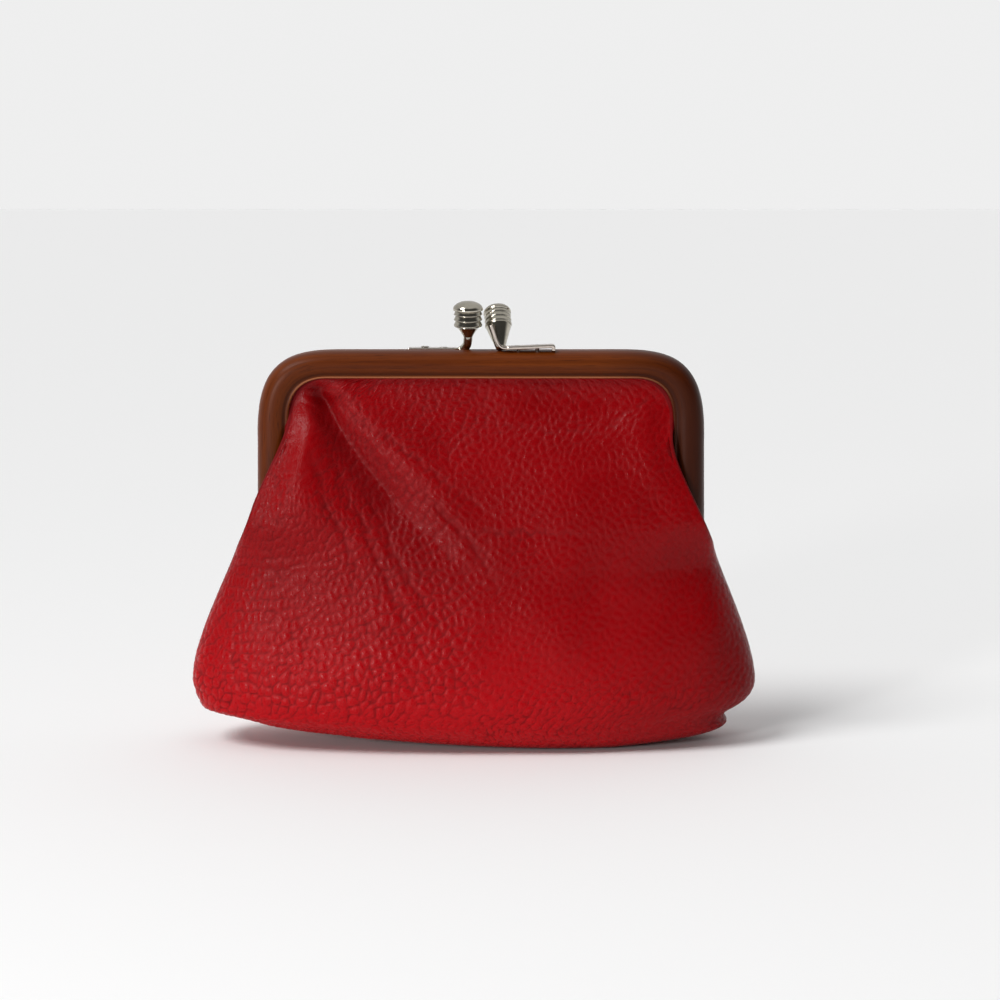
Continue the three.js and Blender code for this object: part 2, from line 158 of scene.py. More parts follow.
class Shader:
    """The node tree of a material or a world, built by naming nodes and their inputs."""

    def __init__(self, owner, surface="Principled BSDF"):
        owner.use_nodes = True
        self.owner = owner
        self.tree = owner.node_tree
        self.surface = self.tree.nodes[surface]

    def node(self, kind, inputs=None, **settings):
        made = self.tree.nodes.new(kind)
        for key, value in settings.items():
            setattr(made, key, value)
        for key, value in (inputs or {}).items():
            self.set(made, key, value)
        return made

    def set(self, node, key, value):
        if isinstance(value, bpy.types.NodeSocket):
            self.tree.links.new(value, node.inputs[key])
        else:
            node.inputs[key].default_value = value

    def shade(self, **inputs):
        for key, value in inputs.items():
            self.set(self.surface, key.replace("_", " "), value)

    def attribute(self, name):
        return self.node("ShaderNodeAttribute", attribute_name=name)

    def coordinates(self):
        return self.node("ShaderNodeTexCoord").outputs["Object"]

    def mapped(self, vector, scale):
        return self.node("ShaderNodeMapping", {"Vector": vector, "Scale": scale}).outputs["Vector"]

    def split(self, vector):
        return self.node("ShaderNodeSeparateXYZ", {"Vector": vector}).outputs

    def fade(self, value, start, end, **settings):
        """A value's way from start, as 0, to end, as 1."""
        inputs = {"Value": value, "From Min": start, "From Max": end}
        return self.node("ShaderNodeMapRange", inputs, **settings).outputs["Result"]

    def noise(self, vector, scale, detail=3.0, roughness=0.5):
        inputs = {"Vector": vector, "Scale": scale, "Detail": detail, "Roughness": roughness}
        return self.node("ShaderNodeTexNoise", inputs).outputs["Fac"]

    def voronoi(self, vector, scale, feature="F1"):
        inputs = {"Vector": vector, "Scale": scale}
        return self.node("ShaderNodeTexVoronoi", inputs, feature=feature).outputs["Distance"]

    def waves(self, vector, scale, distortion, detail, direction):
        inputs = {"Vector": vector, "Scale": scale, "Distortion": distortion, "Detail": detail}
        return self.node("ShaderNodeTexWave", inputs, bands_direction=direction).outputs["Fac"]

    def ramp(self, factor, stops):
        made = self.node("ShaderNodeValToRGB", {"Fac": factor})
        elements = made.color_ramp.elements
        while len(elements) < len(stops):
            elements.new(0.5)
        for element, (place, colour) in zip(elements, stops):
            element.position = place
            element.color = (*colour, 1) if len(colour) == 3 else colour
        return made.outputs["Color"]

    def grey_ramp(self, factor, stops):
        return self.ramp(factor, [(place, (v, v, v)) for place, v in stops])

    def mix(self, factor, a, b):
        made = self.node("ShaderNodeMix", data_type="RGBA")
        for key, value in ((0, factor), (6, a), (7, b)):
            if isinstance(value, tuple) and len(value) == 3:
                value = (*value, 1)
            self.set(made, key, value)
        return made.outputs[2]

    def maths(self, operation, a, b):
        made = self.node("ShaderNodeMath", operation=operation)
        self.set(made, 0, a)
        self.set(made, 1, b)
        return made.outputs["Value"]

    def bump(self, height, distance, strength, normal=None):
        inputs = {"Height": height, "Distance": distance, "Strength": strength}
        if normal is not None:
            inputs["Normal"] = normal
        return self.node("ShaderNodeBump", inputs).outputs["Normal"]


def linear(red, green, blue):
    """Screen values from 0 to 255 as the linear colour that a shader takes."""
    shares = (red / 255, green / 255, blue / 255)
    return tuple(((v + 0.055) / 1.055) ** 2.4 if v > 0.04 else v / 12.92 for v in shares)


def leather_material():
    """Red calf leather: raised pebbles with painted shade in the creases, fine pores and a soft semi-gloss.
    """
    s = Shader(bpy.data.materials.new("red_leather"))
    where = s.coordinates()
    pebble = s.attribute("pebble").outputs["Fac"]
    # Painted light: the red turns brighter low down, fading out towards the right, where the light falls most
    # on the bulge.
    low = s.fade(s.split(where)["Z"], 0.047, 0.008)
    left = s.fade(s.split(where)["X"], 0.064, 0.012)
    patch = s.noise(where, 45.0)
    body = s.mix(s.grey_ramp(patch, [(0.3, 0.0), (0.7, 1.0)]), linear(124, 2, 6), linear(139, 3, 9))
    body = s.mix(s.maths("MULTIPLY", low, left), body, linear(172, 5, 15))
    # Painted shade: the fold mark darkens the valley of the main fold and the right side of each panel.
    body = s.mix(s.maths("MULTIPLY", s.attribute("fold").outputs["Fac"], 0.5), body, linear(77, 1, 3))

    fine = s.voronoi(where, 1500.0, "DISTANCE_TO_EDGE")
    pores = s.voronoi(where, 2900.0)
    # Painted shade: where the pebble mark is low, between the pebbles and in the creases, the colour goes
    # dark.
    crease_shade = s.grey_ramp(pebble, [(0.0, 0.0), (0.5, 1.0)])
    colour = s.mix(crease_shade, linear(104, 1, 5), body)
    rough = s.maths("ADD", s.grey_ramp(pebble, [(0.0, 0.6), (0.85, 0.2)]), s.maths("MULTIPLY", patch, 0.08))
    relief = s.bump(s.grey_ramp(fine, [(0.0, 0.0), (0.14, 1.0)]), 0.00005, 0.35)
    relief = s.bump(pores, 0.00003, 0.3, relief)
    s.shade(Base_Color=colour, Roughness=rough, Normal=relief, Specular_IOR_Level=0.12)
    return s.owner


def lining_material():
    """Plain-woven cotton: warp and weft threads crossing at about 0.5 mm, with slubs."""
    s = Shader(bpy.data.materials.new("cotton_lining"))
    along = s.attribute("cloth").outputs["Vector"]
    warp = s.waves(along, 320.0, 0.6, 1.0, "X")
    weft = s.waves(along, 320.0, 0.6, 1.0, "Y")
    weave = s.maths("MAXIMUM", warp, weft)
    slub = s.noise(s.mapped(along, (40, 900, 40)), 1.0, 2.0)
    shade = s.mix(weave, linear(142, 112, 76), linear(197, 168, 128))
    colour = s.mix(s.maths("MULTIPLY", slub, 0.35), shade, linear(214, 190, 152))
    s.shade(Base_Color=colour, Roughness=0.93, Normal=s.bump(weave, 0.00012, 0.7))
    s.shade(Sheen_Weight=0.25, Sheen_Roughness=0.5)
    return s.owner


def wood_material():
    """Stained beech under satin varnish: streaks that follow the bar, and fine pores."""
    s = Shader(bpy.data.materials.new("stained_wood"))
    along = s.attribute("grain").outputs["Vector"]
    streaks = s.noise(s.mapped(along, (18, 900, 900)), 1.0, 4.0, 0.6)
    bands = s.noise(s.mapped(along, (6, 160, 160)), 1.0, 3.0, 0.55)
    pores = s.noise(s.mapped(along, (160, 5200, 5200)), 1.0, 2.0)
    lip_highlight_cove_shade = s.attribute("lip_highlight_cove_shade").outputs["Fac"]
    base = s.ramp(bands, [(0.3, linear(83, 33, 5)), (0.52, linear(106, 48, 9)), (0.75, linear(93, 39, 6))])
    colour = s.mix(s.grey_ramp(streaks, [(0.35, 0.0), (0.7, 0.6)]), base, linear(66, 22, 4))
    colour = s.mix(s.grey_ramp(pores, [(0.6, 0.0), (0.7, 0.6)]), colour, linear(42, 13, 4))
    # Painted shade in the cove where the mark is under a half, painted highlight on the lip where it is over
    colour = s.mix(s.grey_ramp(lip_highlight_cove_shade, [(0.0, 0.75), (0.5, 0.0)]), colour, linear(48, 15, 4))
    colour = s.mix(s.grey_ramp(lip_highlight_cove_shade, [(0.5, 0.0), (1.0, 0.8)]), colour, linear(178, 112, 76))
    # Painted shade: the right end of the frame is darker, where it lies in shade.
    shade = s.fade(s.split(s.coordinates())["X"], 0.032, 0.056)
    colour = s.mix(s.maths("MULTIPLY", shade, 0.85), colour, linear(44, 11, 2))
    rough = s.maths("ADD", s.maths("MULTIPLY", streaks, 0.14), 0.32)
    s.shade(Base_Color=colour, Roughness=rough, Specular_IOR_Level=0.1)
    s.shade(Coat_Weight=0.02, Coat_Roughness=0.3, Normal=s.bump(pores, 0.00002, 0.3))
    return s.owner


def nickel_material(name="dark_nickel", tint=(190, 184, 170), gloss=0.1):
    """Polished nickel plate with faint handling marks."""
    s = Shader(bpy.data.materials.new(name))
    where = s.coordinates()
    haze = s.noise(where, 420.0, 4.0)
    marks = s.noise(s.mapped(where, (300, 2600, 300)), 1.0, 3.0)
    rough = s.maths("ADD", s.maths("MULTIPLY", haze, 0.12), gloss - 0.05)
    dull = tuple(0.6 * v for v in linear(*tint))
    colour = s.mix(s.grey_ramp(haze, [(0.35, 0.0), (0.75, 0.6)]), linear(*tint), dull)
    s.shade(Base_Color=colour, Metallic=1.0, Roughness=rough, Normal=s.bump(marks, 0.000006, 0.25))
    return s.owner


def steel_material():
    """Turned steel with fine lathe marks."""
    s = Shader(bpy.data.materials.new("turned_steel"))
    where = s.coordinates()
    marks = s.noise(s.mapped(where, (400, 400, 5200)), 1.0, 3.0)
    rough = s.maths("ADD", s.maths("MULTIPLY", marks, 0.2), 0.24)
    colour = s.mix(marks, linear(150, 146, 138), linear(196, 192, 184))
    s.shade(Base_Color=colour, Metallic=1.0, Roughness=rough, Normal=s.bump(marks, 0.00001, 0.4))
    return s.owner


def fibre_material(name, dark, light, twists):
    """Twisted paper or thread: slanting strands, matt and slightly fuzzy."""
    s = Shader(bpy.data.materials.new(name))
    where = s.coordinates()
    strands = s.waves(where, twists, 1.5, 2.0, "DIAGONAL")
    colour = s.mix(strands, linear(*dark), linear(*light))
    s.shade(Base_Color=colour, Roughness=0.92, Sheen_Weight=0.3, Normal=s.bump(strands, 0.0001, 0.8))
    return s.owner


LEATHER = leather_material()
LINING = lining_material()
WOOD = wood_material()
NICKEL = nickel_material()
BRIGHT_NICKEL = nickel_material("bright_nickel", (206, 194, 184), 0.16)
HINGE_NICKEL = nickel_material("hinge_nickel", (136, 130, 120), 0.4)
STEEL = steel_material()
PAPER = fibre_material("kraft_cord", (150, 122, 78), (204, 178, 128), 520.0)
THREAD = fibre_material("red_thread", (92, 4, 8), (150, 14, 20), 900.0)

# ---------------------------------------------------------------- the pouch's shape

POUCH_TOP = 100.3
BASE_EDGE = 0.5
# Curves of (reach, height) from the groove down to the floor: straight inside the frame, a flare under its
# corner, a belly near the floor and a base that turns under. On the right a small tuck pulls the base in.
LEFT_SIDE = (
    ((51.2, POUCH_TOP), (51.2, 95), (51.2, 91), (51.2, 87)),
    ((51.2, 87), (52.4, 82), (57.8, 72.5), (60.3, 66)),
    ((60.3, 66), (62, 61), (62.6, 59.5), (65.2, 54)),
    ((65.2, 54), (69.7, 43), (78.3, 26.5), (78.3, 17)),
    ((78.3, 17), (76.4, 7), (71.6, 2), (60, BASE_EDGE)),
)
RIGHT_SIDE = (
    ((50.9, POUCH_TOP), (50.9, 95), (50.9, 88), (50.9, 83)),
    ((50.9, 83), (51.2, 76), (57.8, 66), (62.1, 55)),
    ((62.1, 55), (63.4, 48), (73.9, 28.5), (74.3, 17)),
    ((74.3, 17), (73.8, 9), (63.2, 10), (66.7, 4.2)),
    ((66.7, 4.2), (67.2, 2.5), (65.4, 1.2), (61.5, BASE_EDGE)),
)
FRONT_DEPTH = (
    ((4.6, POUCH_TOP), (4.7, 93), (7.6, 86), (10.2, 78)),
    ((10.2, 78), (12.4, 70), (15, 58), (16.6, 50)),
    ((16.6, 50), (17.4, 42), (21.5, 28), (22.4, 13)),
    ((22.4, 13), (22.4, 6), (19, 2), (14.5, BASE_EDGE)),
)
# The base is shaped like a boat: it lies on the floor between two places across and rises towards its ends
KEEL_LEFT = {"floor": 20, "end": -78, "rise": 6.8, "power": 1.5}
KEEL_RIGHT = {"floor": 34, "end": 72, "rise": 3.0, "power": 1.1}
KEEL_HEIGHT = 11.0
WINDOW_CORNER = {"across": 41.0, "height": 88.0, "width": 10.0, "rise": 10.8}
GROOVE_REACH = 1.5
ARM_FACE = 6.85
SEAM_GAP = 0.22
LINING_INSET = 2.6
ROUNDNESS = 2 / 2.5
TUCK_COLUMNS = 7


def reach_at(height, curves):
    """How far a side's or the front's curves reach at given heights."""
    points = np.vstack([bezier(*curve, 60) for curve in curves])[::-1]
    return np.interp(height, points[:, 1], points[:, 0])


def keel_rise(across):
    """How far the base rises off the floor at each place across."""
    rise = 0
    for half in (KEEL_LEFT, KEEL_RIGHT):
        share = np.clip((across - half["floor"]) / (half["end"] - half["floor"]), 0, 1)
        rise = rise + half["rise"] * share ** half["power"]
    return rise


def levels(spacing):
    """Heights and shapes of the pouch's rows, evenly spaced down the middle of a panel and under its base."""
    fine = np.linspace(POUCH_TOP, BASE_EDGE, 600)
    left, right, depth = (reach_at(fine, curves) for curves in (LEFT_SIDE, RIGHT_SIDE, FRONT_DEPTH))
    base = np.linspace(1, 0, 80)[1:]
    fine = np.concatenate([fine, BASE_EDGE * base**2])
    left = np.concatenate([left, left[-1] - 3.0 * (1 - base)])
    right = np.concatenate([right, right[-1] - 3.0 * (1 - base)])
    depth = np.concatenate([depth, SEAM_GAP + (depth[-1] - SEAM_GAP) * base])
    step = np.hypot(np.diff(fine), np.diff(depth))
    run = np.concatenate([[0], np.cumsum(step)])
    at = np.linspace(0, run[-1], int(run[-1] / spacing) + 1)
    return [np.interp(at, run, values) for values in (fine, left, right, depth)]


def window_half(height, grow):
    """Half width of the frame's inner outline at a height, moved outwards by grow."""
    corner = WINDOW_CORNER
    rise = np.clip((height - corner["height"]) / (corner["rise"] + grow), 0, 1)
    return corner["across"] + (corner["width"] + grow) * np.sqrt(1 - rise**2)


def leather_edges(z, left, right):
    """Where the leather's side edges are at each height: reach, depth, and how the edge is turned in."""
    grooved = smoothstep(80.0, 93.0, z)
    entering = smoothstep(79.5, 88.0, z)
    seamed = 1 - smoothstep(47.0, 61.5, z)
    over_arm = 1 - grooved - seamed
    over_depth = ARM_FACE + 1.7 + 1.7 * (1 - smoothstep(62.0, 78.0, z))
    return {
        "left": left,
        "right": right,
        "depth": 4.6 * grooved + over_depth * over_arm + SEAM_GAP * seamed,
        "step": GROOVE_REACH * entering - 3.2 * (1 - entering - seamed) - 2.6 * seamed,
        "tucked": 4.6 * entering + (over_depth - 1.1) * (1 - entering - seamed) + SEAM_GAP * seamed,
        "swell": 0.55 * (1 - entering - seamed),
    }


def lining_edges(z, left, right):
    """The same for the lining, which stays between the frame's arms and reaches into their grooves."""
    framed = smoothstep(50.0, 57.0, z)
    inner = window_half(z, 0.0) - 0.5
    depth = 3.5 * framed + 0.5 * (1 - framed)
    return {
        "left": (left - LINING_INSET) * (1 - framed) + inner * framed,
        "right": (right - LINING_INSET) * (1 - framed) + inner * framed,
        "depth": depth,
        "step": 1.4 * framed - 1.5 * (1 - framed),
        "tucked": depth,
        "swell": 0 * z,
    }


def panel_grid(spacing, columns, edges, inset=None):
    """Rows of points over one half of the pouch, as (across, depth, height), from left edge to right."""
    height, left, right, depth = levels(spacing)
    edge = edges(height, left, right)
    inset = 0 * height if inset is None else inset(height)
    bend = 1 - smoothstep(76.0, 90.0, height)
    rise = np.minimum(height / 6, 1)
    t = np.linspace(0, math.pi, 500)
    turn = np.linspace(1, 0, TUCK_COLUMNS + 1)[:-1]
    rows = []
    for i, z in enumerate(height):
        c = np.sign(np.cos(t)) * np.abs(np.cos(t)) ** (ROUNDNESS * bend[i] + 1 - bend[i])
        s = np.sin(t) ** (ROUNDNESS * bend[i] + 2 * (1 - bend[i]))
        reach = [edge["left"][i], edge["right"][i]]
        stop = reach[0] + edge["step"][i], reach[1] + edge["step"][i]
        if z > WINDOW_CORNER["height"]:
            inner = window_half(z, 0.0)
            reach = [min(r, inner) for r in reach]
            stop = (window_half(z, GROOVE_REACH),) * 2
        x = np.where(c > 0, -reach[0] * c, -reach[1] * c)
        y = edge["depth"][i] + max(depth[i] - inset[i] * rise[i] - edge["depth"][i], 0) * s
        swell = edge["swell"][i] * np.sin(turn * math.pi)
        left_x = -reach[0] + (reach[0] - stop[0]) * turn - swell
        right_x = reach[1] + (stop[1] - reach[1]) * turn + swell
        side_y = y[0] + (edge["tucked"][i] - y[0]) * turn
        run = np.concatenate([[0], np.cumsum(np.hypot(np.diff(x), np.diff(y)))])
        at = np.linspace(0, run[-1], columns - 2 * TUCK_COLUMNS)
        across = np.concatenate([left_x, np.interp(at, run, x), right_x[::-1]])
        out = np.concatenate([side_y, np.interp(at, run, y), side_y[::-1]])
        rows.append(np.stack([across, out, np.full(columns, z + inset[i] * (1 - rise[i]))], axis=-1))
    grid = np.array(rows)
    grid[..., 2] += keel_rise(grid[..., 0]) * (1 - smoothstep(0, KEEL_HEIGHT, grid[..., 2]))
    return grid


# ---------------------------------------------------------------- leather relief


def cell_edges(px, py, seed):
    """Distance to the nearest border between random cells of about unit size, for points (px, py)."""
    table = np.random.default_rng(seed).random((128, 128, 2))
    cx, cy = np.floor(px).astype(int), np.floor(py).astype(int)
    near = np.full((2, *px.shape), 9.0)
    for dx in (-1, 0, 1):
        for dy in (-1, 0, 1):
            seat = table[(cx + dx) % 128, (cy + dy) % 128]
            gap = np.hypot(cx + dx + 0.1 + 0.8 * seat[..., 0] - px, cy + dy + 0.1 + 0.8 * seat[..., 1] - py)
            near = np.sort(np.stack([near[0], near[1], gap]), axis=0)[:2]
    return near[1] - near[0]


def value_noise(px, py, seed):
    """Smooth random heights from -1 to 1 on a unit grid."""
    table = np.random.default_rng(seed).random((128, 128)) * 2 - 1
    cx, cy = np.floor(px).astype(int), np.floor(py).astype(int)
    fx, fy = smoothstep(0, 1, px - cx), smoothstep(0, 1, py - cy)

    def corner(dx, dy):
        return table[(cx + dx) % 128, (cy + dy) % 128]

    low = corner(0, 0) * (1 - fx) + corner(1, 0) * fx
    high = corner(0, 1) * (1 - fx) + corner(1, 1) * fx
    return low * (1 - fy) + high * fy


def along_line(x, z, points):
    """Distance to the right of a line through points, and how far along it each place is, from 0 to 1."""
    points = np.asarray(points, float)
    best = np.full(x.shape, 1e9)
    offset = np.zeros(x.shape)
    share = np.zeros(x.shape)
    for i, (a, b) in enumerate(zip(points[:-1], points[1:])):
        d = b - a
        t = np.clip(((x - a[0]) * d[0] + (z - a[1]) * d[1]) / (d @ d), 0, 1)
        gx, gz = x - a[0] - t * d[0], z - a[1] - t * d[1]
        gap = np.hypot(gx, gz)
        near = gap < best
        best = np.where(near, gap, best)
        offset = np.where(near, np.sign(gz * d[0] - gx * d[1]) * gap, offset)
        share = np.where(near, (i + t) / (len(points) - 1), share)
    return offset, share


# The main fold runs from the top left corner down to the middle, beside a smooth puff. A small crease is its
# places (across, height), its depth and its width.
MAIN_FOLD = bezier((-44.5, 98), (-37, 84), (-26, 68), (2, 42), 12)
LEFT_PUFF = [(-47.0, 97), (-46.0, 84), (-49.0, 66), (-52, 52)]
CREASES = [
    ([(50.0, 97.5), (44, 93.0), (37, 88.5), (31, 84)], 0.16, 0.45),
    ([(3, 86.5), (12, 86), (22, 84.8), (34, 84)], 0.2, 0.5),
    ([(-8, 60), (4, 58.5), (16, 59), (30, 57.5)], 0.3, 0.7),
    ([(-41, 97), (-33, 88.6), (-26.4, 84.4), (-17.8, 78), (-9, 71.5), (2.4, 63.7)], 0.35, 0.9),
    ([(-35, 87), (-26, 77), (-17, 68.5), (-6, 60.5), (4, 50)], 0.3, 0.9),
    ([(-24, 78), (-12, 66), (-2, 55), (4, 44)], 0.25, 0.9),
    ([(-46, 82), (-42, 70), (-36, 56), (-30, 42)], 0.3, 0.9),
    ([(-40, 80), (-34, 66), (-26, 50), (-20, 36)], 0.35, 0.9),
    ([(-30, 70), (-24, 56), (-17, 44), (-10, 32)], 0.35, 0.9),
]


def folds(x, z):
    """The large folds in millimetres outwards, and how far each place is in the shade of the main one."""
    gap, share = along_line(x, z, MAIN_FOLD)
    fade = (1 - smoothstep(0.55, 1.0, share)) * smoothstep(101, 96, z)
    width = (3.0 + 7.0 * share) * np.where(gap < 0, 1.25, 0.62)
    valley = -3.4 * np.exp(-((np.abs(gap) / width) ** 1.4)) * fade
    shoulder = 1.2 * np.exp(-(((gap - 5 - 6 * share) / (3.5 + 6 * share)) ** 2)) * fade
    shaded = np.exp(-(((gap + 1.0 + 2.5 * share) / (2.6 + 5 * share)) ** 2)) * fade
    puff_gap, puff_share = along_line(x, z, LEFT_PUFF)
    puff_width = 4.0 + 5 * puff_share
    puff = 2.0 * np.exp(-((puff_gap / puff_width) ** 2)) * (1 - smoothstep(0.6, 1, puff_share))
    corner = np.hypot(x + 45, z - 96)
    pleat_angle = np.arctan2(96 - z, x + 52)
    pleats = 0.35 * np.sin(pleat_angle * 17) * np.exp(-((corner / 8) ** 2))
    right_corner = 0.8 * np.exp(-(((x - 45) / 7) ** 2 + ((z - 84) / 14) ** 2))
    return valley + shoulder + puff * smoothstep(101, 94, z) + pleats + right_corner, shaded


def dome(edge, width=0.75, power=2.2):
    """A rounded pebble over a cell, from 0 at its border to 1 in its middle."""
    return 1 - (1 - np.clip(edge / width, 0, 1)) ** power


# Pebbles on the left lie in a fan around this place above the frame's corner; the others lie on slanted axes
FAN_CENTRE = (-60, 114)
FAN_ARC = 85
FAN_PEBBLE = (2.0, 2.8)
FAN_GROUP = (4.4, 13.0)
EVEN_PEBBLE = 2.2
EVEN_GROUP = (6.4, 5.0)
PEBBLE_HEIGHT = 0.34
GROUP_HEIGHT = 0.09
GRAIN_SEED = {FRONT: 11, BACK: 31}
FOLD_STRENGTH = {FRONT: 1.0, BACK: 0.55}


def pebbles(u, w, across, down, seed):
    """How raised each place is by its own pebble and by its group of pebbles, both from 0 to 1."""
    wobble_x = 0.16 * value_noise(across / 3.4, down / 3.4, seed + 2)
    wobble_y = 0.16 * value_noise(across / 3.4 + 40, down / 3.4 + 40, seed + 3)
    radius = np.hypot(u - FAN_CENTRE[0], w - FAN_CENTRE[1])
    arc = np.arctan2(FAN_CENTRE[1] - w, u - FAN_CENTRE[0]) * FAN_ARC
    short = cell_edges(arc / FAN_PEBBLE[0] + wobble_x + 40, radius / FAN_PEBBLE[1] + wobble_y + 20, seed + 4)
    long = cell_edges(arc / FAN_GROUP[0] + wobble_x + 15, radius / FAN_GROUP[1] + wobble_y + 5, seed + 5)
    slant_x, slant_y = 0.8 * across + 0.6 * down, 0.8 * down - 0.6 * across
    even_x, even_y = slant_x / EVEN_PEBBLE + 1.4 * wobble_x, slant_y / EVEN_PEBBLE + 1.4 * wobble_y
    even = cell_edges(even_x + 60, even_y + 70, seed + 6)
    wide_x, wide_y = slant_x / EVEN_GROUP[0] + wobble_x, slant_y / EVEN_GROUP[1] + wobble_y
    wide = cell_edges(wide_x + 30, wide_y + 10, seed + 7)
    fan_share = smoothstep(16, -6, u) * smoothstep(-2, 12, w)
    # Some creases between the pebbles are a little shallower than others
    vary = 0.9 + 0.1 * value_noise(across / 3.2 + 70, down / 3.2 + 25, seed + 9)
    own = 1 - vary * (1 - dome(short, 0.72, 1.8) * fan_share - dome(even, 0.62, 1.8) * (1 - fan_share))
    group = dome(long, 0.14, 1.6) * fan_share + dome(wide, 0.1, 1.6) * (1 - fan_share)
    return own, group


def grain_strength(mirror, z, u, w, noise):
    """How deep the grain is: deepest on the left and low down, faint on the smooth puff and at the groove."""
    strong = smoothstep(46, -36, u) + 0.7 * smoothstep(24, 10, w) + 0.3 * noise
    smooth_puff = np.exp(-(((mirror + 46.5) / 4.5) ** 2)) * smoothstep(66, 80, z)
    return (0.5 + 0.5 * np.clip(strong, 0, 1)) * (1 - 0.85 * smooth_puff) * smoothstep(100.5, 98, z)


def crease_lines(mirror, z, waver):
    """How deep the small creases are in millimetres, and how plainly each place lies on one."""
    deep, drawn = np.zeros(z.shape), np.zeros(z.shape)
    for points, depth, width in CREASES:
        gap, share = along_line(mirror, z, points)
        ends = np.sin(np.clip(share, 0.02, 0.98) * math.pi) ** 0.5
        line = np.exp(-(((gap + waver) / width) ** 2)) * ends
        deep += depth * line
        drawn = np.maximum(drawn, line)
    return deep, drawn


def leather_relief(x, z, across, down, side):
    """Large form and fine grain of the leather in millimetres, and the marks by which its material paints
    shade and sets its roughness.
    """
    mirror, u, w = -side * x, -side * across, POUCH_TOP - down
    seed, strength = GRAIN_SEED[side], FOLD_STRENGTH[side]
    soft = 0.55 * value_noise(across / 21 + 3, down / 17 + 5, seed)
    soft += 0.22 * value_noise(across / 8 + 9, down / 9 + 2, seed + 1)
    folded, valley_shade = folds(mirror, z)
    form = strength * folded + soft * smoothstep(101, 92, z)

    own, group = pebbles(u, w, across, down, seed)
    amount = grain_strength(mirror, z, u, w, value_noise(across / 12, down / 12, seed + 8))
    grain = amount * (PEBBLE_HEIGHT * (own - 1) + GROUP_HEIGHT * (group - 1))
    deep, drawn = crease_lines(mirror, z, 0.9 * value_noise(across / 3, down / 3, seed + 8))
    between = (0.36 + 0.64 * amount) * (1 - own * (0.55 + 0.45 * group))
    marks = {
        # The pebble mark is low between pebbles and on the small creases: painted shade there, and a rougher
        # surface.
        "pebble": (1 - between) * (1 - 0.55 * strength * drawn),
        # Painted shade in the main fold's valley and along each panel's right side
        "fold": np.maximum(strength * valley_shade, 0.7 * smoothstep(58, 78, u)),
    }
    return form, grain - strength * deep, marks


def grid_normals(points):
    """Unit normals of a grid of points, facing away from the purse."""
    normal = np.cross(np.gradient(points, axis=1), np.gradient(points, axis=0))
    return normal / np.maximum(np.linalg.norm(normal, axis=-1, keepdims=True), 1e-9)


def run_lengths(points):
    """Distance of each point across its row, measured from the middle, and down its column."""
    across = np.cumsum(np.linalg.norm(np.diff(points, axis=1, prepend=points[:, :1]), axis=-1), axis=1)
    down = np.cumsum(np.linalg.norm(np.diff(points, axis=0, prepend=points[:1]), axis=-1), axis=0)
    columns = points.shape[1]
    middle = slice(columns // 2, columns // 2 + 1)
    return across - across[:, middle], np.repeat(down[:, middle], columns, axis=1)


def thick_panel(name, outer, inner, stride, material, side):
    """A closed sheet between an outer grid and an inner grid with every stride-th row and column of it."""
    rows, columns = outer.shape[:2]
    in_rows, in_columns = inner.shape[:2]
    first = rows * columns
    flip = side == FRONT
    faces = grid_faces(rows, columns, flip=flip)
    faces += grid_faces(in_rows, in_columns, first, flip=not flip)

    def rim(fine_ids, coarse_ids, turned):
        for i in range(len(coarse_ids) - 1):
            fine = fine_ids[i * stride : (i + 1) * stride + 1]
            face = list(fine) + [coarse_ids[i + 1], coarse_ids[i]]
            faces.append(face[::-1] if turned else face)

    top, bottom = np.arange(columns), (rows - 1) * columns + np.arange(columns)
    left, right = np.arange(rows) * columns, np.arange(rows) * columns + columns - 1
    in_top = first + np.arange(in_columns)
    in_bottom = in_top + (in_rows - 1) * in_columns
    in_left = first + np.arange(in_rows) * in_columns
    rim(top.tolist(), in_top.tolist(), not flip)
    rim(bottom.tolist(), in_bottom.tolist(), flip)
    rim(left.tolist(), in_left.tolist(), flip)
    rim(right.tolist(), (in_left + in_columns - 1).tolist(), not flip)
    points = np.vstack([outer.reshape(-1, 3), inner.reshape(-1, 3)])
    return mesh_object(name, points, faces, material)


def store(mesh, name, kind, values):
    """Writes one value or vector for each of the mesh's points as a named attribute."""
    made = mesh.attributes.new(name, kind, "POINT")
    key = "vector" if kind == "FLOAT_VECTOR" else "value"
    made.data.foreach_set(key, np.asarray(values, np.float32).ravel())


LEATHER_SPACING = 0.5
LEATHER_THICKNESS = 1.15
LEATHER_STRIDE = 4
LEATHER_WIDTH = 182
LINING_SPACING = 1.5
LINING_WIDTH = 170
LINING_THICKNESS = 0.35


def bend_with_frame(piece):
    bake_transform(piece)


